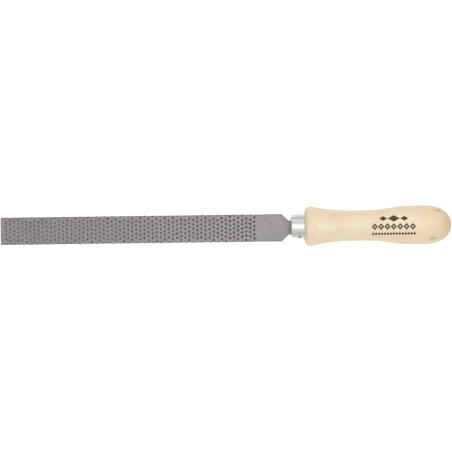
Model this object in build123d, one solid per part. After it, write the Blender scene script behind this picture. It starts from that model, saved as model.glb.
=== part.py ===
"""Flat wood rasp: a toothed steel blade whose tang is driven into a ferruled, turned beech handle.

Frame, in millimetres: X runs along the tool, with the tip towards -X and the butt towards +X.
Z is square to the blade's two flats, and Y runs across the blade. The origin lies on the tool's
axis, in the plane of the handle's front shoulder.
"""

import math
import os

from build123d import *
from build123d.topology import SkipClean

# Blade: a flat bar, parallel in width and thickness from its square tip to its heel. Driven in by
# hand, it sits a little to one side of the handle's axis.
BLADE_OFFSET_Y = -1.1
BLADE_LENGTH = 248.3
BLADE_WIDTH = 24.0
BLADE_THICKNESS = 6.0
EDGE_BREAK = 0.5
TIP_CORNER = 0.8
HEEL_X = -20.0
SHOULDER_LENGTH = 5.6
NECK_WIDTH = 11.5
NECK_FILLET = 1.6
HEEL_CORNER = 0.8

# Tang: it tapers both ways from the neck to a blunt end inside the handle.
TANG_START_X = -12.0
TANG_END_X = 58.0
TANG_END_WIDTH = 4.6
TANG_END_THICKNESS = 3.2

# Teeth: staggered columns of punched teeth, each a pit with a burr raised on its handle side.
TOOTH_COLUMNS = 62
TOOTH_ROWS_EACH_SIDE = 4
FIRST_TOOTH_FROM_TIP = 4.9
TOOTH_PITCH_ALONG = 3.6
TOOTH_PITCH_ACROSS = 3.71
OUTERMOST_TOOTH = 11.35
PIT_LENGTH = 2.1
PIT_HALF_WIDTH = 1.1
PIT_DEPTH = 0.75
WALL_LEAN = 0.17
BURR_LENGTH = 1.15
BURR_HALF_WIDTH = 1.0
BURR_HEIGHT = 0.6
BURR_ROOT = 0.1
PUNCH_CLEARANCE = 0.3

# Unevenness of the punched rows: how far the teeth stray, and how quickly that changes along them.
SLOW_DRIFT = 0.5
SLOW_DRIFT_RATE = 0.83
QUICK_DRIFT = 0.35
QUICK_DRIFT_RATE = 2.3
QUICK_DRIFT_PHASE = 1.0
WANDER = 0.15
WANDER_FIRST_RATE = 12.9898
WANDER_SECOND_RATE = 78.233
WANDER_PHASE = 1.7

# Ferrule: a thin drawn tube, slightly tapered, with its front rim rolled in.
FERRULE_FRONT_X = -12.0
FERRULE_FRONT_RADIUS = 10.55
FERRULE_REAR_RADIUS = 11.4
FERRULE_WALL = 0.9
FERRULE_ROLL = 1.9
FERRULE_MOUTH_RADIUS = 7.7
FERRULE_SEAT_DEPTH = 0.5
FERRULE_SEAT_GAP = 0.05
SPIGOT_END_GAP = 0.4
SPIGOT_END_CHAMFER = 0.8

# Stake: one centre-punch mark that pushes the ferrule's wall into the wood.
STAKE_X = -4.2
STAKE_ANGLE = 58.0
STAKE_RADIUS = 1.5
STAKE_DEPTH = 0.65
STAKE_OVERRUN = 1.25

# Handle: a turned grip with a bead at the front, a waist, and a bulge before the round butt.
SHOULDER_FACE_RADIUS = 12.5
BEAD_X = 5.7
BEAD_RADIUS = 17.8
WAIST_X = 47.0
WAIST_RADIUS = 13.6
BULGE_X = 106.0
BULGE_RADIUS = 17.35
BUTT_X = 130.3

# How far each curve of the handle's profile runs along its end tangents.
SHOULDER_SET_BACK = 0.6
SHOULDER_RISE = 1.1
BEAD_FRONT = 4.9
BEAD_REAR = 3.4
WAIST_FRONT = 29.5
WAIST_REAR = 33.3
BULGE_FRONT = 37.5
BULGE_REAR = 21.5
BUTT_RISE = 4.5

# Bores: two pilot holes drilled in from the front, for the tang.
ENTRY_BORE_RADIUS = 4.0
ENTRY_BORE_END_X = 20.0
PILOT_BORE_RADIUS = 2.5
PILOT_BORE_END_X = 64.0
DRILL_POINT_ANGLE = 118.0

PLACE_TOLERANCE = 0.1

TIP_X = HEEL_X - BLADE_LENGTH
HEEL_START_X = TIP_X + FIRST_TOOTH_FROM_TIP + TOOTH_COLUMNS * TOOTH_PITCH_ALONG
NECK_X = HEEL_X + SHOULDER_LENGTH
SEAT_X = FERRULE_SEAT_DEPTH
ROLL_END_X = FERRULE_FRONT_X + FERRULE_ROLL
SPIGOT_FRONT_X = FERRULE_FRONT_X + FERRULE_WALL + SPIGOT_END_GAP


def polyhedron(points, loops):
    """Makes a solid with flat faces from named corner points and the corners of each face."""
    faces = [Face(Wire.make_polygon([points[name] for name in loop])) for loop in loops]
    return Solid(Shell(faces))


def turned(outline):
    """Turns a closed outline, drawn in X and Y with Y as the radius, about the tool's axis."""
    return revolve(make_face(outline), axis=Axis.X)


def column_drift(column):
    """Gives how far a whole column of teeth lies off its even place across the blade."""
    slow = SLOW_DRIFT * math.sin(SLOW_DRIFT_RATE * column)
    return slow + QUICK_DRIFT * math.sin(QUICK_DRIFT_RATE * column + QUICK_DRIFT_PHASE)


def wander(first, second):
    """Gives a small offset that differs from tooth to tooth, as punched work does."""
    return WANDER * math.sin(WANDER_FIRST_RATE * first + WANDER_SECOND_RATE * second + WANDER_PHASE)


def tooth_places():
    """Gives where each tooth's wall meets the face, column by column from the tip."""
    rows = range(-TOOTH_ROWS_EACH_SIDE, TOOTH_ROWS_EACH_SIDE + 1)
    for column in range(TOOTH_COLUMNS):
        along = TIP_X + FIRST_TOOTH_FROM_TIP + column * TOOTH_PITCH_ALONG
        stagger = column % 2 / 2
        for row in rows:
            across = (row + stagger) * TOOTH_PITCH_ACROSS + column_drift(column)
            if abs(across) <= OUTERMOST_TOOTH:
                yield along + wander(column, row), across + wander(row, column)


def burr():
    """Makes one raised burr, with its steep front in the plane of the pit's wall."""
    spread = (BURR_HEIGHT + BURR_ROOT) / BURR_HEIGHT
    peak_x = WALL_LEAN * BURR_HEIGHT
    points = {
        "peak": (peak_x, 0, BURR_HEIGHT),
        "left": (-WALL_LEAN * BURR_ROOT, BURR_HALF_WIDTH * spread, -BURR_ROOT),
        "right": (-WALL_LEAN * BURR_ROOT, -BURR_HALF_WIDTH * spread, -BURR_ROOT),
        "back": (peak_x + (BURR_LENGTH - peak_x) * spread, 0, -BURR_ROOT),
    }
    loops = [
        ("peak", "left", "right"),
        ("peak", "back", "left"),
        ("peak", "right", "back"),
        ("left", "back", "right"),
    ]
    return polyhedron(points, loops)


def punch():
    """Makes the body that clears one pit: a pyramid below the face, and a prism above it."""
    top = BURR_HEIGHT + PUNCH_CLEARANCE
    lean = WALL_LEAN * top
    points = {
        "deep": (-WALL_LEAN * PIT_DEPTH, 0, -PIT_DEPTH),
        "nose": (-PIT_LENGTH, 0, 0),
        "left": (0, PIT_HALF_WIDTH, 0),
        "right": (0, -PIT_HALF_WIDTH, 0),
        "nose_top": (lean - PIT_LENGTH, 0, top),
        "left_top": (lean, PIT_HALF_WIDTH, top),
        "right_top": (lean, -PIT_HALF_WIDTH, top),
    }
    loops = [
        ("deep", "left", "nose"),
        ("deep", "nose", "right"),
        ("deep", "right", "right_top", "left_top", "left"),
        ("nose", "left", "left_top", "nose_top"),
        ("nose", "nose_top", "right_top", "right"),
        ("nose_top", "left_top", "right_top"),
    ]
    return polyhedron(points, loops)


def on_both_faces(shape):
    """Copies one tooth's shape to every tooth's place on the upper and the lower flat."""
    turn_over = Location((0, 0, 0), (180, 0, 0))
    lift = BLADE_THICKNESS / 2
    upper = [Location((x, y, lift)) for x, y in tooth_places()]
    return [shape.moved(side * place) for side in (Location(), turn_over) for place in upper]


def edges_at(edges, *places):
    """Picks the edges whose middles lie at one of the places along the tool."""
    return [edge for edge in edges if min(abs(edge.center().X - x) for x in places) < PLACE_TOLERANCE]


def with_rounded_uprights(plate, x, radius):
    """Rounds a plate's upright edges at one place along the tool."""
    return fillet(edges_at(plate.edges().filter_by(Axis.Z), x), radius)


def with_broken_rims(plate, *joints):
    """Breaks the sharp rims of a plate's two flats, except where it joins the next length."""
    rims = [edge for face in plate.faces().filter_by(Axis.Z) for edge in face.edges()]
    joined = edges_at(rims, *joints)
    return chamfer([edge for edge in rims if edge not in joined], EDGE_BREAK)


def toothed_bar():
    """Makes the toothed length of the blade, from its square tip to the start of the heel."""
    length = HEEL_START_X - TIP_X
    bar = Box(length, BLADE_WIDTH, BLADE_THICKNESS).moved(Location((TIP_X + length / 2, 0, 0)))
    bar = with_broken_rims(with_rounded_uprights(bar, TIP_X, TIP_CORNER), HEEL_START_X)
    return bar.fuse(*on_both_faces(burr())).cut(*on_both_faces(punch()))


def heel():
    """Makes the smooth heel with its two sloping shoulders, and the neck as far as the tang."""
    half = BLADE_WIDTH / 2
    neck = NECK_WIDTH / 2
    upper = [(HEEL_START_X, half), (HEEL_X, half), (NECK_X, neck), (TANG_START_X, neck)]
    lower = [(x, -y) for x, y in reversed(upper)]
    outline = make_face(Polyline(*upper, *lower, close=True))
    plate = extrude(outline, BLADE_THICKNESS / 2, both=True)
    plate = with_rounded_uprights(plate, NECK_X, NECK_FILLET)
    plate = with_rounded_uprights(plate, HEEL_X, HEEL_CORNER)
    return with_broken_rims(plate, HEEL_START_X, TANG_START_X)


def tang_section(x, width, thickness):
    """Makes the tang's cross-section at one place: a rectangle with its corners broken."""
    outline = chamfer(Rectangle(width, thickness).vertices(), EDGE_BREAK)
    return Plane(origin=(x, 0, 0), x_dir=(0, 1, 0), z_dir=(1, 0, 0)) * outline


def tang():
    """Makes the tang, which tapers in width and in thickness."""
    start = tang_section(TANG_START_X, NECK_WIDTH, BLADE_THICKNESS)
    end = tang_section(TANG_END_X, TANG_END_WIDTH, TANG_END_THICKNESS)
    return loft([start, end], ruled=True)


def driven(shape):
    """Moves the blade, or its tang, to the side of the handle's axis where it was driven in."""
    return shape.moved(Location((0, BLADE_OFFSET_Y, 0)))


def blade():
    """Makes the whole blade, with its heel's flats as faces of their own, apart from the teeth."""
    with SkipClean():
        return driven(toothed_bar().fuse(heel(), tang()))


def stake(surface_radius):
    """Makes the centre punch's cone, pointing at the axis, with its point below that radius."""
    width = STAKE_RADIUS * STAKE_OVERRUN
    cone = Cone(width, 0, STAKE_DEPTH * STAKE_OVERRUN, align=(Align.CENTER, Align.CENTER, Align.MAX))
    inward = Location((STAKE_X, 0, 0)) * Rotation(180 + STAKE_ANGLE, 0, 0)
    return inward * Location((0, 0, STAKE_DEPTH - surface_radius)) * cone


def ferrule_wall_radius(x):
    """Gives the ferrule's outer radius on its straight taper."""
    rise = (FERRULE_REAR_RADIUS - FERRULE_FRONT_RADIUS) / (SEAT_X - ROLL_END_X)
    return FERRULE_REAR_RADIUS + (x - SEAT_X) * rise


def ferrule():
    """Makes the ferrule: a tapered tube with a rolled-in front rim, staked at one place."""
    roll_radius = FERRULE_FRONT_RADIUS - FERRULE_ROLL
    inner_front = FERRULE_FRONT_X + FERRULE_WALL
    outer_rim = (ROLL_END_X, FERRULE_FRONT_RADIUS)
    inner_rim = (ROLL_END_X, FERRULE_FRONT_RADIUS - FERRULE_WALL)
    outline = [
        Line((SEAT_X, FERRULE_REAR_RADIUS), outer_rim),
        RadiusArc(outer_rim, (FERRULE_FRONT_X, roll_radius), -FERRULE_ROLL),
        Line((FERRULE_FRONT_X, roll_radius), (FERRULE_FRONT_X, FERRULE_MOUTH_RADIUS)),
        Line((FERRULE_FRONT_X, FERRULE_MOUTH_RADIUS), (inner_front, FERRULE_MOUTH_RADIUS)),
        Line((inner_front, FERRULE_MOUTH_RADIUS), (inner_front, roll_radius)),
        RadiusArc((inner_front, roll_radius), inner_rim, FERRULE_ROLL - FERRULE_WALL),
        Line(inner_rim, (SEAT_X, FERRULE_REAR_RADIUS - FERRULE_WALL)),
        Line((SEAT_X, FERRULE_REAR_RADIUS - FERRULE_WALL), (SEAT_X, FERRULE_REAR_RADIUS)),
    ]
    outer = ferrule_wall_radius(STAKE_X)
    return turned(outline).fuse(stake(outer - FERRULE_WALL)).cut(stake(outer))


def handle_profile():
    """Draws the outside of the grip, from the front shoulder's rim to the middle of the butt."""
    rim = (0, SHOULDER_FACE_RADIUS)
    bead = (BEAD_X, BEAD_RADIUS)
    waist = (WAIST_X, WAIST_RADIUS)
    bulge = (BULGE_X, BULGE_RADIUS)
    rising = (SHOULDER_SET_BACK, SHOULDER_FACE_RADIUS + SHOULDER_RISE)
    return [
        Bezier(rim, rising, (BEAD_X - BEAD_FRONT, BEAD_RADIUS), bead),
        Bezier(bead, (BEAD_X + BEAD_REAR, BEAD_RADIUS), (WAIST_X - WAIST_FRONT, WAIST_RADIUS), waist),
        Bezier(waist, (WAIST_X + WAIST_REAR, WAIST_RADIUS), (BULGE_X - BULGE_FRONT, BULGE_RADIUS), bulge),
        Bezier(bulge, (BULGE_X + BULGE_REAR, BULGE_RADIUS), (BUTT_X, BUTT_RISE), (BUTT_X, 0)),
    ]


def drilled(radius, end_x):
    """Makes the body that a twist drill clears from the handle's front end, with its pointed end."""
    point = radius / math.tan(math.radians(DRILL_POINT_ANGLE / 2))
    outline = Polyline(
        (SPIGOT_FRONT_X, 0),
        (SPIGOT_FRONT_X, radius),
        (end_x, radius),
        (end_x + point, 0),
        close=True,
    )
    return turned(outline)


def handle():
    """Makes the turned handle, with its spigot, the ferrule's seat, and the driven tang's hole."""
    inner_rear = FERRULE_REAR_RADIUS - FERRULE_WALL
    inner_front = FERRULE_FRONT_RADIUS - FERRULE_WALL
    seat_radius = FERRULE_REAR_RADIUS + FERRULE_SEAT_GAP
    spigot = Polyline(
        (BUTT_X, 0),
        (SPIGOT_FRONT_X, 0),
        (SPIGOT_FRONT_X, inner_front - SPIGOT_END_CHAMFER),
        (SPIGOT_FRONT_X + SPIGOT_END_CHAMFER, inner_front),
        (SEAT_X, inner_rear),
        (SEAT_X, seat_radius),
        (0, seat_radius),
        (0, SHOULDER_FACE_RADIUS),
    )
    grip = turned([*spigot.edges(), *handle_profile()])
    bores = (
        drilled(ENTRY_BORE_RADIUS, ENTRY_BORE_END_X),
        drilled(PILOT_BORE_RADIUS, PILOT_BORE_END_X),
    )
    return grip.cut(*bores, driven(tang()), stake(ferrule_wall_radius(STAKE_X) - FERRULE_WALL))


def write(name, shape):
    """Writes one piece to its own file."""
    shape.label = name
    export_step(shape, f"parts/{name}.step")


os.makedirs("parts", exist_ok=True)
write("blade", blade())
write("ferrule", ferrule())
write("handle", handle())
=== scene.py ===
"""The looks of a flat wood rasp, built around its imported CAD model.

Shapes are worked out in millimetres in the row frame: X runs along the tool, from the tip at -X to the
butt at +X, Z is square to the blade's flats, and the origin is on the axis at the handle's front
shoulder. A mesh is turned into metres when it is made.
"""

import math
import random

import bpy
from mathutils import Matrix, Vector
from mathutils.geometry import delaunay_2d_cdt


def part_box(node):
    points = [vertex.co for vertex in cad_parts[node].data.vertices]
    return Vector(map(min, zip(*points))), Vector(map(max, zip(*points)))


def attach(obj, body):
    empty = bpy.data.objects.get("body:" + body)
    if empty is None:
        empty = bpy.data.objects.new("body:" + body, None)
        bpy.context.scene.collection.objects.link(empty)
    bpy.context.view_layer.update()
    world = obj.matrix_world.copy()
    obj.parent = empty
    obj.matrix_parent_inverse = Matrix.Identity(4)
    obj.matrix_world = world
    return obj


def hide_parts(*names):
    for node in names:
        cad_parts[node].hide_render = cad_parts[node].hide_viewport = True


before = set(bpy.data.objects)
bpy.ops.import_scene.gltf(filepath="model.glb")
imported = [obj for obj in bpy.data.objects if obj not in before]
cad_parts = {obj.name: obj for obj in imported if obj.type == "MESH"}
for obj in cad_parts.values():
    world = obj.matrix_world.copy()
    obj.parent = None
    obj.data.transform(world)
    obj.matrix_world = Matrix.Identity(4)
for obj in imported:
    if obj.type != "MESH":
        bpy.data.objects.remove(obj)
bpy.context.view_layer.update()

MM = 0.001
TAU = 2 * math.pi

# Tolerances in millimetres.
ON_AXIS = 1e-6
JUST_INSIDE = 1e-9
MERGE_DISTANCE = 1e-7

# Edges sharper than these, in degrees, are shaded sharp.
METAL_SHARP_ANGLE = 40
WOOD_SHARP_ANGLE = 30

# Places along the tool, from the CAD.
TIP_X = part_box("blade")[0].x / MM
TANG_END_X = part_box("blade")[1].x / MM
MOUTH_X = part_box("ferrule")[0].x / MM
SEAT_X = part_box("ferrule")[1].x / MM
SPIGOT_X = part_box("handle")[0].x / MM
BUTT_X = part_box("handle")[1].x / MM

# Blade.
BLADE_Y = -1.1
BLADE_LENGTH = 248.3
HALF_WIDTH = 12.0
HALF_THICKNESS = 3.0
EDGE_BREAK = 0.5
SMALLEST_BREAK = 0.02
TIP_CORNER = 0.8
HEEL_X = TIP_X + BLADE_LENGTH
HEEL_CORNER = 0.8
SHOULDER_LENGTH = 5.6
NECK_HALF_WIDTH = 5.75
NECK_FILLET = 1.6
TANG_END_HALF_WIDTH = 2.3
TANG_END_HALF_THICKNESS = 1.6

# Teeth, as the CAD places them.
TOOTH_COLUMNS = 62
TOOTH_ROWS_EACH_SIDE = 4
FIRST_TOOTH_FROM_TIP = 4.9
TOOTH_PITCH_ALONG = 3.6
TOOTH_PITCH_ACROSS = 3.71
OUTERMOST_TOOTH = 11.35
HEEL_START_X = TIP_X + FIRST_TOOTH_FROM_TIP + TOOTH_COLUMNS * TOOTH_PITCH_ALONG
SLOW_DRIFT = 0.5
SLOW_DRIFT_RATE = 0.83
QUICK_DRIFT = 0.35
QUICK_DRIFT_RATE = 2.3
QUICK_DRIFT_PHASE = 1.0
WANDER = 0.15
WANDER_FIRST_RATE = 12.9898
WANDER_SECOND_RATE = 78.233
WANDER_PHASE = 1.7

# Teeth, as a punch leaves them.
PIT_LENGTH = 2.05
PIT_DEPTH = 0.75
BURR_LENGTH = 1.1
BURR_HEIGHT = 0.6
TOOTH_HALF_WIDTH = 1.27
TOOTH_CORNER_SPREAD = 1.29
TOOTH_STEPS = 10
TOOTH_SEED = 8
TOOTH_TURN = 0.09
TOOTH_LENGTHS = (0.93, 1.05)
TOOTH_DEPTHS = (0.85, 1.12)
TOOTH_HEIGHTS = (0.84, 1.0)
TOOTH_WEAR = 0.3
EDGE_TEETH_FROM = 9.9
EDGE_TEETH_PUSH = 0.9
EDGE_TEETH_LIMIT = 12.15
EDGE_TEETH_GROWTH = 0.5

# Ferrule.
FERRULE_FRONT_RADIUS = 10.55
FERRULE_REAR_RADIUS = 11.4
FERRULE_WALL = 0.9
FERRULE_ROLL = 1.9
FERRULE_MOUTH_RADIUS = 7.7
RIM_ROUNDING = 0.2
STAKE_X = -4.2
STAKE_ANGLE = math.radians(58.0)
STAKE_RADIUS = 1.5
STAKE_DEPTH = 0.65
STAKE_REACH = 1.9
STAKE_LIP = 0.05
STAKE_LIP_AT = 1.12
STAKE_LIP_SPREAD = 0.1

# Handle.
SHOULDER_FACE_RADIUS = 12.5
SHOULDER_CURVE = (0.6, 13.6)
BEAD = (5.7, 17.8)
BEAD_FRONT = 4.9
BEAD_REAR = 3.4
WAIST = (47.0, 13.6)
WAIST_FRONT = 29.5
WAIST_REAR = 33.3
BULGE = (106.0, 17.35)
BULGE_FRONT = 37.5
BULGE_REAR = 21.5
BUTT_RISE = 4.5
SEAT_GAP = 0.05
SPIGOT_CHAMFER = 0.8
HANDLE_SIDES = 112
ENTRY_BORE = (4.0, 20.0)
PILOT_BORE = (2.5, 64.0)
BORE_SIDES = 48
DRILL_POINT_ANGLE = math.radians(59)
CUT_START_X = SPIGOT_X - 1.0


def mesh_object(name, points, faces):
    """Makes a mesh object from points in millimetres."""
    mesh = bpy.data.meshes.new(name)
    mesh.from_pydata([Vector(point) * MM for point in points], [], faces)
    item = bpy.data.objects.new(name, mesh)
    bpy.context.scene.collection.objects.link(item)
    return item


def piece(name, points, faces, material, smooth_angle):
    """Makes a piece of the rasp, shaded smooth but for edges sharper than an angle in degrees."""
    item = mesh_object(name, points, faces)
    item.data.validate()
    item.data.shade_smooth()
    item.data.set_sharp_from_angle(angle=math.radians(smooth_angle))
    item.data.materials.append(material)
    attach(item, "root")
    return item


# ---------------------------------------------------------------- blade: sections and the wrapped sheet


def section_point(spot, half_width, half_thickness, break_y, break_z):
    """Gives (y, z, normal y, normal z) of a spot on a rounded rectangle, seen along the blade.

    A spot is (stretch, fraction). The nine stretches run from the middle of the -Y side over the
    top, down the +Y side and back along the bottom, with a rounded corner between each two.
    """
    stretch, fraction = spot
    y, z = half_width - break_y, half_thickness - break_z
    corners = {1: (-y, z, math.pi), 3: (y, z, math.pi / 2), 5: (y, -z, 0.0), 7: (-y, -z, -math.pi / 2)}
    if stretch in corners:
        centre_y, centre_z, start = corners[stretch]
        angle = start - fraction * math.pi / 2
        turn_y, turn_z = math.cos(angle), math.sin(angle)
        return centre_y + break_y * turn_y, centre_z + break_z * turn_z, turn_y, turn_z
    flats = {
        0: (-half_width, fraction * z, -1, 0),
        2: ((2 * fraction - 1) * y, half_thickness, 0, 1),
        4: (half_width, (1 - 2 * fraction) * z, 1, 0),
        6: ((1 - 2 * fraction) * y, -half_thickness, 0, -1),
        8: (-half_width, (fraction - 1) * z, -1, 0),
    }
    return flats[stretch]


def stretch_lengths():
    """Gives the length of each stretch of the blade's full section."""
    side = HALF_THICKNESS - EDGE_BREAK
    corner = EDGE_BREAK * math.pi / 2
    flat = 2 * (HALF_WIDTH - EDGE_BREAK)
    return [side, corner, flat, corner, 2 * side, corner, flat, corner, side]


# The stretches of the full section: how long each is, where it starts, and its steps in the mesh.
LENGTHS = stretch_lengths()
STARTS = [sum(LENGTHS[:index]) for index in range(len(LENGTHS))]
GIRTH = sum(LENGTHS)
CORNERS = (1, 3, 5, 7)
CORNER_STEPS = 3
FLAT_STEPS = {0: 1, 2: 8, 4: 2, 6: 8, 8: 1}


def ring_spots():
    """Gives the spots that every ring of the blade's mesh has, once around the section."""
    spots = []
    for stretch in range(len(LENGTHS)):
        steps = CORNER_STEPS if stretch in CORNERS else FLAT_STEPS[stretch]
        spots += [(stretch, step / steps) for step in range(steps)]
    return spots


def girth_place(spot):
    """Gives how far around the full section a spot lies."""
    return STARTS[spot[0]] + spot[1] * LENGTHS[spot[0]]


def wrap(x, around, height):
    """Puts a point of the flat sheet, with a height above it, onto the blade's full section."""
    around = min(max(around, 0.0), GIRTH - JUST_INSIDE)
    stretch = max(index for index in range(len(STARTS)) if STARTS[index] <= around)
    spot = (stretch, (around - STARTS[stretch]) / LENGTHS[stretch])
    y, z, normal_y, normal_z = section_point(spot, HALF_WIDTH, HALF_THICKNESS, EDGE_BREAK, EDGE_BREAK)
    return x, y + height * normal_y, z + height * normal_z


# ---------------------------------------------------------------- blade: teeth


def column_drift(column):
    """Gives how far a whole column of teeth lies off its even place across the blade."""
    slow = SLOW_DRIFT * math.sin(SLOW_DRIFT_RATE * column)
    return slow + QUICK_DRIFT * math.sin(QUICK_DRIFT_RATE * column + QUICK_DRIFT_PHASE)


def wander(first, second):
    """Gives a small offset that differs from tooth to tooth."""
    return WANDER * math.sin(WANDER_FIRST_RATE * first + WANDER_SECOND_RATE * second + WANDER_PHASE)


def tooth_places():
    """Gives where each tooth's wall meets the face, as the CAD has them."""
    places = []
    for column in range(TOOTH_COLUMNS):
        along = TIP_X + FIRST_TOOTH_FROM_TIP + column * TOOTH_PITCH_ALONG
        for row in range(-TOOTH_ROWS_EACH_SIDE, TOOTH_ROWS_EACH_SIDE + 1):
            across = (row + column % 2 / 2) * TOOTH_PITCH_ACROSS + column_drift(column)
            if abs(across) <= OUTERMOST_TOOTH:
                places.append((along + wander(column, row), across + wander(row, column)))
    return places


def tooth_rows(length, depth, height):
    """Gives a tooth as rows of (x, y, z) points, from the pit's nose to the burr's foot.

    A row crosses the tooth. It is given by how far along it lies, how wide it is and how high it
    rises, where t goes from 0 in the middle to 1 at either end. All rows share their two end points,
    at the corners of the wall, which are returned too. The first two rows and the last two lie on the
    face, so that the flat around the tooth stays flat.
    """
    width = TOOTH_HALF_WIDTH
    pit = PIT_LENGTH * length
    burr = BURR_LENGTH * length
    profiles = [
        # The face in front of the pit, and the pit's front rim.
        (lambda t: -(pit + 0.2) * (1 - t**1.25), 1.27, lambda t: 0.0),
        (lambda t: -pit * (1 - t**1.2), 1.02, lambda t: 0.0),
        # The slope down into the pit, and the foot of its steep wall.
        (lambda t: -0.5 * pit * (1 - t**1.3), 0.93, lambda t: -0.52 * depth * (1 - t)),
        (lambda t: -0.12 + 0.25 * (1 - t * t), 0.9, lambda t: -depth * (1 - t**1.4)),
        # The burr's crest, just behind the wall, and its rounded back.
        (lambda t: -0.04 + 0.38 * (1 - t * t), 0.93, lambda t: height * (1 - t**1.6)),
        (lambda t: 0.14 + 0.6 * burr * (1 - t * t) * 0.75, 0.96, lambda t: 0.84 * height * (1 - t**1.7)),
        (lambda t: 0.1 + 0.76 * burr * (1 - t * t), 1.02, lambda t: 0.38 * height * (1 - t * t)),
        # The burr's foot, and the face behind it.
        (lambda t: burr * (1 - t * t), 1.1, lambda t: 0.0),
        (lambda t: (burr + 0.14) * (1 - t**2.2), 1.24, lambda t: 0.0),
    ]
    sides = [2 * step / TOOTH_STEPS - 1 for step in range(1, TOOTH_STEPS)]
    rows = []
    for along, spread, rise in profiles:
        rows.append([(along(abs(t)), spread * width * t, rise(abs(t))) for t in sides])
    return rows, (0.0, TOOTH_CORNER_SPREAD * width, 0.0)


class Sheet:
    """The blade's toothed skin, laid out flat: points with heights, and the faces between them."""

    def __init__(self):
        self.flat = []
        self.heights = []
        self.outlines = []
        self.faces = []

    def add(self, x, around, height=0.0):
        """Adds one point, and gives its number."""
        self.flat.append((x, around))
        self.heights.append(height)
        return len(self.flat) - 1

    def add_tooth(self, x, around, turn, length, depth, height):
        """Adds one tooth's points, its own faces and its outline."""
        cosine, sine = math.cos(turn), math.sin(turn)

        def put(point):
            along = point[0] * cosine - point[1] * sine
            across = point[0] * sine + point[1] * cosine
            return self.add(x + along, around + across, point[2])

        rows, corner = tooth_rows(length, depth, height)
        right, left = put((corner[0], -corner[1], 0.0)), put(corner)
        lines = [[right, *(put(point) for point in row), left] for row in rows]
        self.outlines.append([*lines[0][::-1], *lines[-1][1:-1]])
        for near, far in zip(lines, lines[1:]):
            self.faces.append((near[0], far[1], near[1]))
            self.faces.append((near[-2], far[-2], near[-1]))
            for a, b, c, d in zip(near[1:-2], far[1:-2], far[2:-1], near[2:-1]):
                self.faces.append((a, b, c, d))


def build_blade(material):
    """Makes the blade: the toothed skin, the rounded tip, the heel, the shoulders and the tang.

    Teeth near the long edges are larger and stand further out, to break the outline. Those near the
    tip are worn.
    """
    draw = random.Random(TOOTH_SEED)
    sheet = Sheet()
    start_x, end_x = TIP_X + TIP_CORNER, HEEL_START_X
    spots = ring_spots()
    first_ring = [sheet.add(start_x, girth_place(spot)) for spot in spots]
    last_ring = [sheet.add(end_x, girth_place(spot)) for spot in spots]
    twins = {
        sheet.add(start_x, GIRTH): first_ring[0],
        sheet.add(end_x, GIRTH): last_ring[0],
    }
    seam_steps = 60
    for step in range(1, seam_steps):
        x = start_x + (end_x - start_x) * step / seam_steps
        near = sheet.add(x, 0.0)
        twins[sheet.add(x, GIRTH)] = near
    face_middles = [STARTS[2] + LENGTHS[2] / 2, STARTS[6] + LENGTHS[6] / 2]
    for middle in face_middles:
        for x, across in tooth_places():
            beyond = max(0.0, abs(across) - EDGE_TEETH_FROM)
            across = math.copysign(min(abs(across) + beyond * EDGE_TEETH_PUSH, EDGE_TEETH_LIMIT), across)
            larger = 1.0 + min(beyond, 1.0) * EDGE_TEETH_GROWTH
            worn = 1.0 - TOOTH_WEAR * (HEEL_START_X - x) / (HEEL_START_X - TIP_X)
            sheet.add_tooth(
                x,
                middle + across,
                turn=draw.uniform(-TOOTH_TURN, TOOTH_TURN),
                length=draw.uniform(*TOOTH_LENGTHS) * (larger + 1.0) / 2,
                depth=PIT_DEPTH * draw.uniform(*TOOTH_DEPTHS) * worn,
                height=BURR_HEIGHT * draw.uniform(*TOOTH_HEIGHTS) * worn * larger,
            )
    add_corner_lines(sheet, start_x, end_x)
    points, faces = skin(sheet, twins)
    add_rings(points, faces, first_ring, last_ring, spots)
    points = [(x, y + BLADE_Y, z) for x, y, z in points]
    blade = piece("rasp_blade", points, faces, material, METAL_SHARP_ANGLE)
    relief = blade.data.attributes.new("relief", "FLOAT", "POINT")
    heights = sheet.heights + [0.0] * (len(blade.data.vertices) - len(sheet.heights))
    relief.data.foreach_set("value", heights)
    return blade


def add_corner_lines(sheet, start_x, end_x):
    """Adds closely spaced points along the rounded corners, wherever no tooth breaks them."""
    spacing = 0.8
    margin = 0.12
    longest_tooth = 5
    count = int((end_x - start_x) / spacing)
    boxes = {}
    for outline in sheet.outlines:
        xs = [sheet.flat[index][0] for index in outline]
        arounds = [sheet.flat[index][1] for index in outline]
        boxes.setdefault(round(min(xs)), []).append((min(xs), max(xs), min(arounds), max(arounds)))
    for stretch in CORNERS:
        for corner_step in range(CORNER_STEPS + 1):
            around = girth_place((stretch, corner_step / CORNER_STEPS))
            for step in range(1, count):
                x = start_x + (end_x - start_x) * step / count
                keys = range(round(x) - longest_tooth, round(x) + 2)
                near = [box for key in keys for box in boxes.get(key, [])]
                if any(
                    low_x - margin < x < high_x + margin and low - margin < around < high + margin
                    for low_x, high_x, low, high in near
                ):
                    continue
                sheet.add(x, around)


def skin(sheet, twins):
    """Fills the flat between the teeth, joins the seam, and wraps the sheet around the blade."""
    border = {index for outline in sheet.outlines for index in outline}
    inner = {index for face in sheet.faces for index in face} - border
    outer = [index for index in range(len(sheet.flat)) if index not in inner]
    order = {index: place for place, index in enumerate(outer)}
    outlines = [[order[index] for index in outline] for outline in sheet.outlines]
    flat = [Vector(sheet.flat[index]) for index in outer]
    _, _, triangles, origins, _, inside = delaunay_2d_cdt(flat, [], outlines, 0, MERGE_DISTANCE)
    faces = list(sheet.faces)
    for triangle, tooth in zip(triangles, inside):
        if not tooth:
            faces.append(tuple(outer[origins[corner][0]] for corner in triangle))
    faces = [tuple(twins.get(index, index) for index in face) for face in faces]
    points = [wrap(x, around, height) for (x, around), height in zip(sheet.flat, sheet.heights)]
    return points, faces


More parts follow.
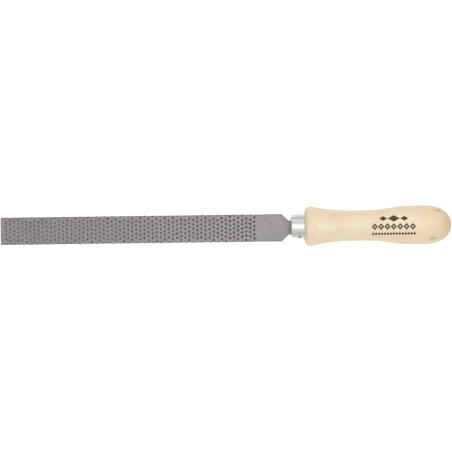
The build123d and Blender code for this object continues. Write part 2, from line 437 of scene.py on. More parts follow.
def tip_section(from_tip):
    """Gives the section's half width, half thickness and edge rounding, so near the square tip."""

    def lost(radius):
        return radius - math.sqrt(radius**2 - max(0.0, radius - from_tip) ** 2)

    thinner = lost(EDGE_BREAK)
    edge = max(SMALLEST_BREAK, EDGE_BREAK - thinner)
    return HALF_WIDTH - lost(TIP_CORNER), HALF_THICKNESS - thinner, edge


def arc_corner(before, corner, after, radius, steps):
    """Gives the points that round one corner of a line, in the plane of the line."""
    back = (Vector(before) - Vector(corner)).normalized()
    on = (Vector(after) - Vector(corner)).normalized()
    half = back.angle(on) / 2
    reach = radius / math.tan(half)
    centre = Vector(corner) + (back + on).normalized() * radius / math.sin(half)
    begin = Vector(corner) + back * reach - centre
    end = Vector(corner) + on * reach - centre
    return [tuple(centre + begin.slerp(end, step / steps)) for step in range(steps + 1)]


def heel_outline():
    """Gives (x, half width) from the heel's start, round the shoulder, to the end of the tang."""
    heel = (HEEL_X, HALF_WIDTH)
    neck = (HEEL_X + SHOULDER_LENGTH, NECK_HALF_WIDTH)
    mouth = (MOUTH_X, NECK_HALF_WIDTH)
    steps = 5
    return [
        *arc_corner((HEEL_START_X, HALF_WIDTH), heel, neck, HEEL_CORNER, steps),
        *arc_corner(heel, neck, mouth, NECK_FILLET, steps),
        mouth,
        (TANG_END_X, TANG_END_HALF_WIDTH),
    ]


def add_rings(points, faces, first_ring, last_ring, spots):
    """Adds the tip beyond the first ring, and the heel, neck and tang beyond the last one."""

    def add_ring(x, half_width, half_thickness, break_y, break_z):
        numbers = []
        for spot in spots:
            y, z, _, _ = section_point(spot, half_width, half_thickness, break_y, break_z)
            points.append((x, y, z))
            numbers.append(len(points) - 1)
        return numbers

    def join(before, after):
        for index in range(len(spots)):
            following = (index + 1) % len(spots)
            faces.append((before[index], after[index], after[following], before[following]))

    tip_steps = 6
    rings = []
    for step in range(tip_steps):
        from_tip = TIP_CORNER * (1 - math.cos(step / tip_steps * math.pi / 2))
        half_width, half_thickness, rim = tip_section(from_tip)
        rings.append(add_ring(TIP_X + from_tip, half_width, half_thickness, rim, rim))
    rings.append(first_ring)
    for before, after in zip(rings, rings[1:]):
        join(before, after)
    faces.append(tuple(rings[0]))

    before, x_before, width_before = last_ring, HEEL_START_X, HALF_WIDTH
    for x, half_width in heel_outline():
        slope = (half_width - width_before) / (x - x_before)
        along_tang = max(0.0, (x - MOUTH_X) / (TANG_END_X - MOUTH_X))
        half_thickness = HALF_THICKNESS + along_tang * (TANG_END_HALF_THICKNESS - HALF_THICKNESS)
        ring = add_ring(x, half_width, half_thickness, EDGE_BREAK * math.hypot(1, slope), EDGE_BREAK)
        join(before, ring)
        before, x_before, width_before = ring, x, half_width
    faces.append(tuple(reversed(before)))


# ---------------------------------------------------------------- turned pieces


def line(start, end, steps):
    """Gives evenly spaced points of a straight line, without its last one."""
    return [tuple(Vector(start).lerp(Vector(end), step / steps)) for step in range(steps)]


def arc(centre, radius, start, end, steps):
    """Gives points of an arc, without its last one, from one angle to another in degrees."""
    angles = [math.radians(start + (end - start) * step / steps) for step in range(steps)]
    return [(centre[0] + radius * math.cos(a), centre[1] + radius * math.sin(a)) for a in angles]


def bezier(first, second, third, fourth, steps):
    """Gives points of a cubic curve, without its last one."""
    controls = [Vector(point) for point in (first, second, third, fourth)]
    points = []
    for step in range(steps):
        t = step / steps
        weights = ((1 - t) ** 3, 3 * t * (1 - t) ** 2, 3 * t * t * (1 - t), t**3)
        pulls = (control * weight for control, weight in zip(controls, weights))
        points.append(tuple(sum(pulls, Vector((0, 0)))))
    return points


def turned(profile, angles, closed, place):
    """Turns a profile of (x, radius) points about the tool's axis.

    A closed profile makes a ring. An open one has its two ends on the axis. place(x, radius,
    angle) gives the point, so that a dent can be pressed in.
    """
    points, faces, rings = [], [], []
    for x, radius in profile:
        if radius < ON_AXIS:
            points.append((x, 0.0, 0.0))
            rings.append([len(points) - 1] * len(angles))
            continue
        rings.append([len(points) + index for index in range(len(angles))])
        points += [place(x, radius, angle) for angle in angles]
    pairs = list(zip(rings, rings[1:]))
    if closed:
        pairs.append((rings[-1], rings[0]))
    for near, far in pairs:
        for index in range(len(angles)):
            following = (index + 1) % len(angles)
            corners = (near[index], near[following], far[following], far[index])
            faces.append(tuple(dict.fromkeys(corners)))
    return points, faces


def on_circle(x, radius, angle):
    """Places a turned point. The angle is measured from +Z towards -Y."""
    return x, -radius * math.sin(angle), radius * math.cos(angle)


def on_wall(x, depth=0.0):
    """Gives the place on the ferrule's straight taper, or at a depth inside its outer face."""
    roll_x = MOUTH_X + FERRULE_ROLL
    share = (x - roll_x) / (SEAT_X - roll_x)
    return x, FERRULE_FRONT_RADIUS + share * (FERRULE_REAR_RADIUS - FERRULE_FRONT_RADIUS) - depth


def build_ferrule(material):
    """Makes the ferrule, with its rolled rim and the punch mark that stakes it to the wood."""
    roll_x = MOUTH_X + FERRULE_ROLL
    roll_radius = FERRULE_FRONT_RADIUS - FERRULE_ROLL
    inner_x = MOUTH_X + FERRULE_WALL
    mouth = FERRULE_MOUTH_RADIUS
    rim = RIM_ROUNDING
    before_stake, past_stake = STAKE_X - STAKE_REACH, STAKE_X + STAKE_REACH
    profile = [
        *line(on_wall(SEAT_X), on_wall(past_stake), 4),
        *line(on_wall(past_stake), on_wall(before_stake), 28),
        *line(on_wall(before_stake), on_wall(roll_x), 6),
        *arc((roll_x, roll_radius), FERRULE_ROLL, 90, 180, 10),
        *line((MOUTH_X, roll_radius), (MOUTH_X, mouth + rim), 2),
        *arc((MOUTH_X + rim, mouth + rim), rim, 180, 270, 3),
        *line((MOUTH_X + rim, mouth), (inner_x, mouth), 2),
        *line((inner_x, mouth), (inner_x, roll_radius), 2),
        *arc((roll_x, roll_radius), FERRULE_ROLL - FERRULE_WALL, 180, 90, 6),
        *line(on_wall(roll_x, FERRULE_WALL), on_wall(before_stake, FERRULE_WALL), 4),
        *line(on_wall(before_stake, FERRULE_WALL), on_wall(past_stake, FERRULE_WALL), 18),
        *line(on_wall(past_stake, FERRULE_WALL), on_wall(SEAT_X, FERRULE_WALL), 4),
        *line(on_wall(SEAT_X, FERRULE_WALL), on_wall(SEAT_X), 1),
    ]
    fine = STAKE_REACH / FERRULE_FRONT_RADIUS
    coarse_count, fine_count = 92, 28
    angles = [STAKE_ANGLE + fine + (TAU - 2 * fine) * step / coarse_count for step in range(coarse_count)]
    angles += [STAKE_ANGLE - fine + 2 * fine * step / fine_count for step in range(fine_count)]

    def dented(x, radius, angle):
        across = radius * (angle % TAU - STAKE_ANGLE)
        distance = math.hypot(x - STAKE_X, across) / STAKE_RADIUS
        dent = STAKE_DEPTH * max(0.0, 1 - distance) ** 1.1
        lip = STAKE_LIP * math.exp(-(((distance - STAKE_LIP_AT) / STAKE_LIP_SPREAD) ** 2))
        return on_circle(x, radius - dent + lip, angle)

    points, faces = turned(profile, angles, closed=True, place=dented)
    faces = [face[::-1] for face in faces]
    return piece("rasp_ferrule", points, faces, material, METAL_SHARP_ANGLE)


def handle_profile():
    """Gives the handle's outside, from the middle of the spigot's end to the middle of the butt."""
    inner_front = FERRULE_FRONT_RADIUS - FERRULE_WALL
    inner_rear = FERRULE_REAR_RADIUS - FERRULE_WALL
    seat_radius = FERRULE_REAR_RADIUS + SEAT_GAP
    chamfer_x = SPIGOT_X + SPIGOT_CHAMFER
    rim = 0.25
    face = SHOULDER_FACE_RADIUS
    return [
        (SPIGOT_X, 0.0),
        *line((SPIGOT_X, FERRULE_MOUTH_RADIUS), (SPIGOT_X, inner_front - SPIGOT_CHAMFER), 1),
        *line((SPIGOT_X, inner_front - SPIGOT_CHAMFER), (chamfer_x, inner_front), 2),
        *line((chamfer_x, inner_front), (SEAT_X, inner_rear), 8),
        *line((SEAT_X, inner_rear), (SEAT_X, seat_radius), 2),
        *line((SEAT_X, seat_radius), (0.0, seat_radius), 2),
        *line((0.0, seat_radius), (0.0, face - rim), 3),
        *line((0.0, face - rim), (0.0, face), 2),
        *bezier((0.0, face), SHOULDER_CURVE, (BEAD[0] - BEAD_FRONT, BEAD[1]), BEAD, 22),
        *bezier(BEAD, (BEAD[0] + BEAD_REAR, BEAD[1]), (WAIST[0] - WAIST_FRONT, WAIST[1]), WAIST, 34),
        *bezier(WAIST, (WAIST[0] + WAIST_REAR, WAIST[1]), (BULGE[0] - BULGE_FRONT, BULGE[1]), BULGE, 44),
        *bezier(BULGE, (BULGE[0] + BULGE_REAR, BULGE[1]), (BUTT_X, BUTT_RISE), (BUTT_X, 0.0), 36),
        (BUTT_X, 0.0),
    ]


def drill(radius, end_x):
    """Makes the body of a drilled hole with a pointed end."""
    point = radius / math.tan(DRILL_POINT_ANGLE)
    profile = [(CUT_START_X, 0.0), (CUT_START_X, radius), (end_x, radius), (end_x + point, 0.0)]
    angles = [TAU * step / BORE_SIDES for step in range(BORE_SIDES)]
    return mesh_object("drill", *turned(profile, angles, closed=False, place=on_circle))


def tang_hole():
    """Makes the body of the tang's own hole."""
    spots = ring_spots()
    points, faces = [], []
    run = TANG_END_X - MOUTH_X
    for x in (CUT_START_X, TANG_END_X):
        share = (x - MOUTH_X) / run
        half_width = NECK_HALF_WIDTH + share * (TANG_END_HALF_WIDTH - NECK_HALF_WIDTH)
        half_thickness = HALF_THICKNESS + share * (TANG_END_HALF_THICKNESS - HALF_THICKNESS)
        for spot in spots:
            y, z, _, _ = section_point(spot, half_width, half_thickness, EDGE_BREAK, EDGE_BREAK)
            points.append((x, y + BLADE_Y, z))
    count = len(spots)
    for index in range(count):
        following = (index + 1) % count
        faces.append((index + count, following + count, following, index))
    faces.append(tuple(range(count)))
    faces.append(tuple(reversed(range(count, 2 * count))))
    return mesh_object("tang_hole", points, faces)


def build_handle(material):
    """Makes the turned handle, and cuts the drilled and driven hole for the tang."""
    angles = [TAU * step / HANDLE_SIDES for step in range(HANDLE_SIDES)]
    points, faces = turned(handle_profile(), angles, closed=False, place=on_circle)
    faces = [face[::-1] for face in faces]
    handle = piece("rasp_handle", points, faces, material, WOOD_SHARP_ANGLE)
    for body in (drill(*ENTRY_BORE), drill(*PILOT_BORE), tang_hole()):
        cut = handle.modifiers.new("cut", "BOOLEAN")
        cut.operation = "DIFFERENCE"
        cut.solver = "EXACT"
        cut.object = body
        settle(handle)
        bpy.data.objects.remove(body)
    handle.data.shade_smooth()
    handle.data.set_sharp_from_angle(angle=math.radians(WOOD_SHARP_ANGLE))
    return handle


def settle(item):
    """Turns an object's modifiers into its mesh."""
    shape = item.evaluated_get(bpy.context.evaluated_depsgraph_get())
    mesh = bpy.data.meshes.new_from_object(shape)
    item.modifiers.clear()
    item.data = mesh


# ---------------------------------------------------------------- materials


class Value:
    """A number that varies over a surface. Sums written with it become math nodes."""

    def __init__(self, shader, socket):
        self.shader = shader
        self.socket = socket

    def math(self, operation, *others):
        """Gives the result of one math node."""
        item = self.shader.tree.nodes.new("ShaderNodeMath")
        item.operation = operation
        for socket, value in zip(item.inputs, (self, *others)):
            self.shader.feed(socket, value)
        return Value(self.shader, item.outputs[0])

    def __add__(self, other):
        return self.math("ADD", other)

    def __sub__(self, other):
        return self.math("SUBTRACT", other)

    def __mul__(self, other):
        return self.math("MULTIPLY", other)

    def __truediv__(self, other):
        return self.math("DIVIDE", other)

    def __abs__(self):
        return self.math("ABSOLUTE")

    def __pow__(self, other):
        return self.math("POWER", other)

    def fraction(self):
        """Gives what is left after the whole number."""
        return self.math("FRACT")

    def greater(self, other):
        """Gives the larger of two numbers."""
        return self.math("MAXIMUM", other)

    def ramp(self, low, high, start=0.0, end=1.0):
        """Goes smoothly from start to end as the number goes from low to high."""
        values = {"Value": self, "From Min": low, "From Max": high, "To Min": start, "To Max": end}
        item = self.shader.node("ShaderNodeMapRange", values, interpolation_type="SMOOTHSTEP")
        return Value(self.shader, item.outputs["Result"])


class Shader:
    """A material with one principled surface, and the nodes that vary it by place, in millimetres."""

    def __init__(self, name, **surface):
        self.material = bpy.data.materials.new(name)
        self.material.use_nodes = True
        self.tree = self.material.node_tree
        self.surface = self.tree.nodes["Principled BSDF"]
        for socket, value in surface.items():
            self.feed(self.surface.inputs[socket.replace("_", " ").title()], value)
        place = self.node("ShaderNodeTexCoord", {}).outputs["Object"]
        scaled = self.node("ShaderNodeVectorMath", {0: place, 1: (1 / MM,) * 3}, operation="MULTIPLY")
        axes = self.node("ShaderNodeSeparateXYZ", {0: scaled.outputs[0]})
        self.x, self.y, self.z = (Value(self, socket) for socket in axes.outputs)

    def feed(self, socket, value):
        """Links or sets one input."""
        if isinstance(value, Value):
            value = value.socket
        if isinstance(value, bpy.types.NodeSocket):
            self.tree.links.new(value, socket)
        elif isinstance(value, tuple) and len(value) == 3 and socket.type == "RGBA":
            socket.default_value = (*value, 1.0)
        else:
            socket.default_value = value

    def node(self, kind, values, **settings):
        """Adds one node, with its settings and inputs."""
        item = self.tree.nodes.new(kind)
        for key, setting in settings.items():
            setattr(item, key, setting)
        for key, value in values.items():
            self.feed(item.inputs[key], value)
        return item

    def at(self, x, y, z):
        """Joins three numbers into one place."""
        return self.node("ShaderNodeCombineXYZ", {0: x, 1: y, 2: z}).outputs[0]

    def stretched(self, along, across):
        """Gives the place with its length and its width divided by two sizes in millimetres."""
        return self.at(self.x / along, self.y / across, self.z / across)

    def noise(self, place, detail):
        """Gives smooth noise with bumps about one unit of the place apart, from about 0.25 to 0.75."""
        values = {"Vector": place, "Scale": 1.0, "Detail": detail}
        return Value(self, self.node("ShaderNodeTexNoise", values).outputs["Fac"])

    def facing(self, axis):
        """Gives how squarely the surface faces along an axis, either way, from 0 to 1."""
        normal = self.node("ShaderNodeNewGeometry", {}).outputs["Normal"]
        return abs(Value(self, self.node("ShaderNodeSeparateXYZ", {0: normal}).outputs[axis]))

    def upper(self):
        """Gives 1 on the side that faces up as the rasp lies, and 0 below."""
        return self.z.ramp(0.0, 1.0)

    def mark(self, x, y, half_length, half_width, softness):
        """Gives a small ragged spot, 1 in its middle and 0 around it, at one place seen from above."""
        ragged = self.noise(self.stretched(1.5, 0.5), detail=3.0) * 1.2 - 0.6
        reach = ((abs(self.x - x) / half_length) ** 2.0 + (abs(self.y - y) / half_width) ** 2.0) ** 0.5
        return (reach + ragged).ramp(1.0 - softness, 1.0, 1.0, 0.0)

    def mix(self, amount, first, second):
        """Blends two colours."""
        item = self.node("ShaderNodeMix", {"Factor": amount}, data_type="RGBA")
        colours = [socket for socket in item.inputs if socket.type == "RGBA"]
        self.feed(colours[0], first)
        self.feed(colours[1], second)
        return next(socket for socket in item.outputs if socket.type == "RGBA")

    def bump(self, height, distance):
        """Raises the surface where the height is near 1, by a distance in millimetres."""
        values = {"Height": height, "Strength": 1.0, "Distance": distance * MM}
        self.feed(self.surface.inputs["Normal"], self.node("ShaderNodeBump", values).outputs[0])

    def colour(self, colour):
        """Sets the surface's colour."""
        self.feed(self.surface.inputs["Base Color"], colour)

    def roughness(self, value):
        """Sets the surface's roughness."""
        self.feed(self.surface.inputs["Roughness"], value)


DARK_STEEL = (0.185, 0.176, 0.172)
GREY_STEEL = (0.286, 0.286, 0.278)
WARM_STEEL = (0.304, 0.280, 0.278)
DARK_PUNCHED_STEEL = (0.185, 0.175, 0.171)
PALE_PUNCHED_STEEL = (0.277, 0.263, 0.26)
WORN_STEEL = (0.125, 0.112, 0.11)
PIT_STEEL = (0.075, 0.07, 0.066)
EDGE_SHADE_STEEL = (0.11, 0.105, 0.10)
NECK_SHADE_STEEL = (0.13, 0.12, 0.11)
SMUDGE_STEEL = (0.13, 0.125, 0.12)
BRUISE_STEEL = (0.10, 0.10, 0.098)
SCUFFED_STEEL = (0.42, 0.41, 0.40)
WORN_CREST_AND_HIGHLIGHT_STEEL = (0.66, 0.65, 0.64)
SCUFF_LEAN = 0.6
# Each mark is its x, y, half length, half width and softness.
BRUISES = ((-29.4, 3.4, 2.3, 0.7, 0.9), (-21.4, 0.3, 1.5, 1.0, 0.9))


def steel():
    """Makes the blade's steel: rubbed and scuffed flats, dark pits, bright crests that are partly worn
    and partly painted highlight, and painted shade on the rounded edges and the neck.
    """
    shader = Shader("bare_tool_steel", metallic=1.0)
    relief = Value(shader, shader.node("ShaderNodeAttribute", {}, attribute_name="relief").outputs["Fac"])
    scratch = shader.noise(shader.stretched(9.0, 0.3), detail=3.0)
    cross = shader.noise(shader.at(shader.x / 0.4, shader.y / 5.0, shader.z / 5.0), detail=2.0)
    cloud = shader.noise(shader.stretched(9.0, 5.0), detail=4.0)
    shade = scratch.ramp(0.25, 0.75) * 0.4 + cross.ramp(0.25, 0.75) * 0.2 + cloud.ramp(0.3, 0.7) * 0.4
    tint = shader.noise(shader.stretched(12.0, 7.0), detail=1.0).ramp(0.42, 0.58)
    metal = shader.mix(shade, DARK_STEEL, shader.mix(tint, GREY_STEEL, WARM_STEEL))
    punched = shader.mix(shade, DARK_PUNCHED_STEEL, PALE_PUNCHED_STEEL)
    toothed = shader.x.ramp(HEEL_START_X - 1.0, HEEL_START_X, 1.0, 0.0)
    metal = shader.mix(toothed * 0.8, metal, punched)
    fresh = shader.x.ramp(TIP_X, HEEL_START_X)
    metal = shader.mix(fresh * -0.45 + 0.48, metal, WORN_STEEL)
    speck = shader.noise(shader.stretched(0.7, 0.5), detail=2.0).ramp(0.5, 0.7)
    metal = shader.mix(speck * toothed * (fresh * -0.15 + 0.32), metal, SCUFFED_STEEL)
    pit = relief.ramp(-0.4, 0.0, 1.0, 0.0) * (fresh * 0.65 + 0.3)
    metal = shader.mix(pit, metal, PIT_STEEL)
    # Burr crests made lighter: partly bright worn edges, partly a painted highlight.
    metal = shader.mix(relief.ramp(0.15, 0.5) * (fresh * 0.4 + 0.6), metal, WORN_CREST_AND_HIGHLIGHT_STEEL)
    # Painted shade along the blade's rounded edges, where the surface turns between the flats and the
    # sides.
    rim = shader.facing("Z").ramp(0.1, 0.4) * shader.facing("Z").ramp(0.75, 0.98, 1.0, 0.0)
    metal = shader.mix(rim * 0.55, metal, EDGE_SHADE_STEEL)
    # Painted shade on the neck, deepening towards the ferrule's mouth.
    neck = shader.x.ramp(HEEL_X + 1.0, MOUTH_X, 0.0, 0.5)
    metal = shader.mix(neck, metal, NECK_SHADE_STEEL)
    around = shader.y + shader.z - HALF_THICKNESS
    with_scuff, across_scuff = shader.x + around * SCUFF_LEAN, around - shader.x * SCUFF_LEAN
    slanted = shader.at(with_scuff / 3.2, across_scuff / 0.4, 5.0)
    scuff = shader.noise(slanted, detail=2.0).ramp(0.58, 0.68)
    metal = shader.mix(scuff * 0.75, metal, SCUFFED_STEEL)
    smudge = shader.noise(shader.stretched(4.0, 1.6), detail=3.0).ramp(0.55, 0.72)
    metal = shader.mix(smudge * 0.3, metal, SMUDGE_STEEL)
    bruises = shader.mark(*BRUISES[0]).greater(shader.mark(*BRUISES[1]))
    metal = shader.mix(bruises * 0.65, metal, BRUISE_STEEL)
    shader.colour(metal)
    shader.roughness(cloud.ramp(0.3, 0.7, 0.3, 0.42) + pit * 0.2)
    shader.bump(scratch * 0.6 + cross * 0.4, 0.02)
    return shader.material


DARK_NICKEL = (0.625, 0.615, 0.58)
PALE_NICKEL = (0.655, 0.645, 0.61)
STAKE_SHADE = (0.16, 0.155, 0.145)


def nickel():
    """Makes the ferrule's polished plating, with faint rings from the spinning lathe and painted shade at
    the stake dent.
    """
    shader = Shader("polished_nickel", metallic=1.0)
    rings = shader.noise(shader.at(shader.x / 0.2, shader.y / 40.0, shader.z / 40.0), detail=2.0)
    cloud = shader.noise(shader.stretched(5.0, 3.0), detail=3.0)
    _, stake_y, stake_z = on_circle(*on_wall(STAKE_X), STAKE_ANGLE)
    from_stake = (shader.x - STAKE_X) ** 2.0 + (shader.y - stake_y) ** 2.0 + (shader.z - stake_z) ** 2.0
    from_stake = from_stake**0.5
    # Painted shade in and around the stake dent.
    stake_shade = from_stake.ramp(0.2, 0.9, 0.35, 0.85) * (from_stake + cloud * 0.8).ramp(1.6, 2.3, 1.0, 0.0)
    metal = shader.mix(cloud.ramp(0.3, 0.7), DARK_NICKEL, PALE_NICKEL)
    shader.colour(shader.mix(stake_shade, metal, STAKE_SHADE))
    shader.roughness(cloud.ramp(0.3, 0.7, 0.15, 0.18))
    shader.bump(rings, 0.0015)
    return shader.material


PITH_Y = 16.0
PITH_Z = -44.0
RING_WIDTH = 2.4
DARK_BEECH = (0.765, 0.63, 0.44)
PALE_BEECH = (0.81, 0.69, 0.49)
ROSY_BEECH = (0.82, 0.635, 0.465)
STREAKED_BEECH = (0.67, 0.53, 0.345)
LATE_WOOD = (0.65, 0.50, 0.31)
RAY_FLECK = (0.51, 0.35, 0.21)
BUTT_BEECH = (0.70, 0.52, 0.27)
END_GRAIN = (0.56, 0.40, 0.22)
BLEMISH = (0.36, 0.20, 0.09)
GLINT = (0.93, 0.84, 0.68)
INK = (0.045, 0.022, 0.009)
# Each mark is its x, y, half length, half width and softness.
DASH = (117.9, 12.4, 2.6, 0.8, 0.5)
SMEAR = (112.6, -12.2, 4.5, 1.7, 0.9)
SPOT = (101.1, 7.4, 1.2, 0.9, 0.8)
GLINTS = ((37.2, 0.7, 3.0, 0.8, 0.9), (44.3, 0.2, 3.0, 0.7, 0.9))


def beech():
    """Makes the handle's lacquered beech, with its growth rings, ray flecks and darker end grain."""
    shader = Shader("lacquered_beech", metallic=0.0)
    bend = shader.noise(shader.stretched(70.0, 18.0), detail=1.0) * 7.0
    from_pith = ((shader.y - PITH_Y) ** 2.0 + (shader.z - PITH_Z) ** 2.0) ** 0.5
    ring = ((from_pith + bend) / RING_WIDTH).fraction()
    late_wood = ring.ramp(0.55, 0.92) - ring.ramp(0.92, 1.0)
    streak = shader.noise(shader.stretched(16.0, 0.7), detail=3.0)
    fleck = shader.noise(shader.stretched(1.6, 0.28), detail=1.0).ramp(0.66, 0.74)
    cloud = shader.noise(shader.stretched(24.0, 12.0), detail=2.0)
    pink = shader.noise(shader.at(shader.x / 17.0, shader.z / 9.0, shader.y / 9.0), detail=1.0)
    wood = shader.mix(cloud.ramp(0.35, 0.65), DARK_BEECH, PALE_BEECH)
    rosy = pink.ramp(0.4, 0.7, 0.0, 0.5) + shader.y.ramp(-14.0, 6.0, 0.3, 0.0)
    wood = shader.mix(rosy, wood, ROSY_BEECH)
    wood = shader.mix(streak.ramp(0.45, 0.8, 0.0, 0.35), wood, STREAKED_BEECH)
    wood = shader.mix(late_wood * 0.22, wood, LATE_WOOD)
    wood = shader.mix(fleck * 0.45, wood, RAY_FLECK)
    wood = shader.mix(shader.x.ramp(BULGE[0] - 12.0, BUTT_X - 4.0, 0.0, 0.45), wood, BUTT_BEECH)
    wood = shader.mix(shader.facing("X").ramp(0.3, 1.0, 0.0, 0.6), wood, END_GRAIN)
    dash = shader.mark(*DASH) * 0.8
    smear = shader.mark(*SMEAR) * 0.6
    spot = shader.mark(*SPOT) * 0.25
    wood = shader.mix(dash.greater(smear).greater(spot) * shader.upper(), wood, BLEMISH)
    glint = shader.mark(*GLINTS[0]).greater(shader.mark(*GLINTS[1]))
    wood = shader.mix(glint * shader.upper() * 0.45, wood, GLINT)
    shader.colour(shader.mix(printed_motif(shader), wood, INK))
    shader.roughness(streak.ramp(0.3, 0.7, 0.3, 0.4))
    shader.bump(streak * 0.7 + late_wood * 0.2, 0.03)
    return shader.material


MOTIF_X = 78.6
MOTIF_HALF_LENGTH = 19.5
MOTIF_SOFTNESS = 0.12
TOP_ROW_Y = 5.9
MIDDLE_DIAMOND = (5.4, 2.9)
SIDE_DIAMOND = (3.6, 2.1)
SIDE_DIAMOND_AT = 9.2
BAND_Y = -1.25
BAND_DIAMONDS = 7
BAND_HALF_HEIGHT = 3.05
BAND_HOLE = (0.9, 1.0)
DOTS_Y = -7.55
DOTS = 15
DOT = (1.25, 1.5)


def printed_motif(shader):
    """Gives the plain dark pattern printed on the handle's upper side: three rows of diamonds."""
    along = abs(shader.x - MOTIF_X)

    def within(distance, limit):
        return distance.ramp(limit - MOTIF_SOFTNESS, limit + MOTIF_SOFTNESS, 1.0, 0.0)

    def diamond(from_middle, middle_y, half_length, half_height):
        reach = (from_middle / half_length + abs(shader.y - middle_y) / half_height) * half_height
        return within(reach, half_height)

    def repeated(count):
        pitch = 2 * MOTIF_HALF_LENGTH / count
        return abs((along / pitch + 0.5).fraction() - 0.5) * pitch

    middle = diamond(along, TOP_ROW_Y, *MIDDLE_DIAMOND)
    top = middle.greater(diamond(abs(along - SIDE_DIAMOND_AT), TOP_ROW_Y, *SIDE_DIAMOND))
    band = diamond(repeated(BAND_DIAMONDS), BAND_Y, MOTIF_HALF_LENGTH / BAND_DIAMONDS, BAND_HALF_HEIGHT)
    band = band - diamond(repeated(BAND_DIAMONDS), BAND_Y, *BAND_HOLE)
    dots = diamond(repeated(DOTS), DOTS_Y, *DOT)
    faded = shader.noise(shader.stretched(0.5, 0.5), detail=3.0).ramp(0.25, 0.45, 0.85, 1.0)
    rows = band.greater(dots) * within(along, MOTIF_HALF_LENGTH)
    return top.greater(rows) * shader.upper() * faded


# ---------------------------------------------------------------- the set


CAMERA_CENTRE = (-69.15, 1.09)
FRAME_WIDTH = 399.7
CAMERA_TURN = math.radians(-0.741)
LENS = 300.0
SENSOR = 36.0
SIGHT_METRES = 100.0
PANEL_LENGTH = 3000.0
BACKLIGHT = 0.45
# Each is how far up a direction points, from -1 to 1, and how bright the room is there.
ROOM_ABOVE = (0.4, 0.76)
ROOM_BELOW = (-0.6, 0.90)
# Each is where the rasp meets the floor: its x and z.
FLOOR_TOUCH_TIP = (-268.0, -3.6)
FLOOR_TOUCH_BEAD = (BEAD[0], -BEAD[1])
FLOOR_RADIUS = 7000.0
FLOOR_SIDES = 64
SWEEP_RADIUS = 2000.0
SWEEP_STEPS = 12
WALL_HEIGHT = 4000.0


def add_camera():
    """Looks straight down at the rasp through a long lens."""
    camera = bpy.data.objects.new("camera", bpy.data.cameras.new("camera"))
    bpy.context.scene.collection.objects.link(camera)
    camera.data.lens = LENS
    camera.data.sensor_width = SENSOR
    height = FRAME_WIDTH * LENS / SENSOR
    camera.data.clip_end = SIGHT_METRES
    camera.location = Vector((*CAMERA_CENTRE, height)) * MM
    camera.rotation_euler = (0, 0, CAMERA_TURN)
    bpy.context.scene.camera = camera


def add_floor():
    """Lays the floor against the rasp's tip and bead, which rest on it, and sweeps it up far away.

    Only the camera sees the floor, which glows a little, so it puts no shade or colour on the rasp.
    """
    rise = (FLOOR_TOUCH_BEAD[1] - FLOOR_TOUCH_TIP[1]) / (FLOOR_TOUCH_BEAD[0] - FLOOR_TOUCH_TIP[0])
    sweep = arc((SWEEP_RADIUS, FLOOR_RADIUS), SWEEP_RADIUS, 180, 90, SWEEP_STEPS)
    profile = [(0.0, 0.0), *sweep, (WALL_HEIGHT, FLOOR_RADIUS + SWEEP_RADIUS)]
    angles = [TAU * step / FLOOR_SIDES for step in range(FLOOR_SIDES)]

    def upright(height, radius, angle):
        return radius * math.cos(angle), radius * math.sin(angle), height

    points, faces = turned(profile, angles, closed=False, place=upright)
    tilted = [(x, y, z + FLOOR_TOUCH_TIP[1] + (x - FLOOR_TOUCH_TIP[0]) * rise) for x, y, z in points]
    floor = mesh_object("floor", tilted, faces)
    paper = Shader("pale_paper", roughness=0.9, metallic=0.0)
    grain = paper.noise(paper.stretched(2.0, 2.0), detail=2.0)
    paper.colour(paper.mix(grain, (0.90, 0.90, 0.90), (0.92, 0.92, 0.92)))
    paper.surface.inputs["Emission Color"].default_value = (1.0, 1.0, 1.0, 1.0)
    paper.surface.inputs["Emission Strength"].default_value = BACKLIGHT
    floor.data.materials.append(paper.material)
    floor.visible_diffuse = False
    floor.visible_glossy = False
    floor.visible_shadow = False


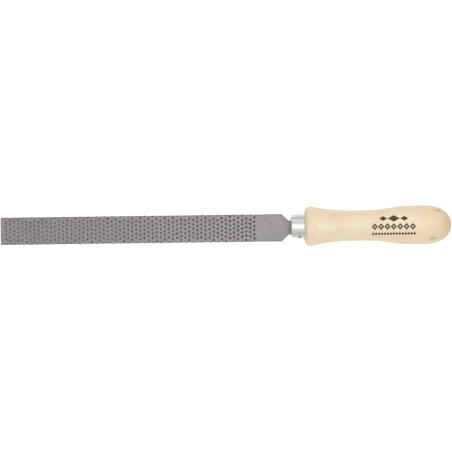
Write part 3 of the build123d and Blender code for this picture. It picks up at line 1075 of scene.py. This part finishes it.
def add_panel(name, from_angle, to_angle, distance, radiance):
    """Hangs one long soft light beside the rasp.

    Seen along the blade, it spans the two angles from straight up, with +Y positive. The radiance
    is its surface's brightness, in the same measure as the room's.
    """
    middle = math.radians((from_angle + to_angle) / 2)
    width = 2 * distance * math.tan(math.radians(abs(to_angle - from_angle)) / 2)
    data = bpy.data.lights.new(name, "AREA")
    data.shape = "RECTANGLE"
    data.size, data.size_y = PANEL_LENGTH * MM, width * MM
    data.energy = radiance * math.pi * data.size * data.size_y
    panel = bpy.data.objects.new(name, data)
    bpy.context.scene.collection.objects.link(panel)
    place = Vector((CAMERA_CENTRE[0], distance * math.sin(middle), distance * math.cos(middle)))
    panel.location = place * MM
    panel.rotation_euler = (-middle, 0, 0)
    panel.visible_camera = False
    return panel


def add_light():
    """Lights the rasp from a white room, brighter below than above, and a few large panels."""
    world = bpy.data.worlds.new("room")
    world.use_nodes = True
    tree = world.node_tree
    background = tree.nodes["Background"]
    background.inputs["Color"].default_value = (1.0, 1.0, 1.0, 1.0)
    upward = tree.nodes.new("ShaderNodeSeparateXYZ")
    ramp = tree.nodes.new("ShaderNodeMapRange")
    limits = {
        "From Min": ROOM_BELOW[0],
        "From Max": ROOM_ABOVE[0],
        "To Min": ROOM_BELOW[1],
        "To Max": ROOM_ABOVE[1],
    }
    for socket, limit in limits.items():
        ramp.inputs[socket].default_value = limit
    tree.links.new(tree.nodes.new("ShaderNodeTexCoord").outputs["Generated"], upward.inputs[0])
    tree.links.new(upward.outputs["Z"], ramp.inputs["Value"])
    tree.links.new(ramp.outputs["Result"], background.inputs["Strength"])
    bpy.context.scene.world = world
    add_panel("overhead", -20.0, 19.0, 1300.0, 0.53)
    add_panel("overhead_wide", -49.0, 34.0, 1200.0, 0.3)
    add_panel("far_side", 42.0, 68.0, 1300.0, 0.36)
    add_panel("underneath", 105.0, 255.0, 1300.0, 0.25).visible_diffuse = False
    bpy.context.scene.view_settings.view_transform = "Standard"


add_camera()
add_floor()
add_light()

blade = build_blade(steel())
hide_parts("blade")
ferrule = build_ferrule(nickel())
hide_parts("ferrule")
handle = build_handle(beech())
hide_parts("handle")
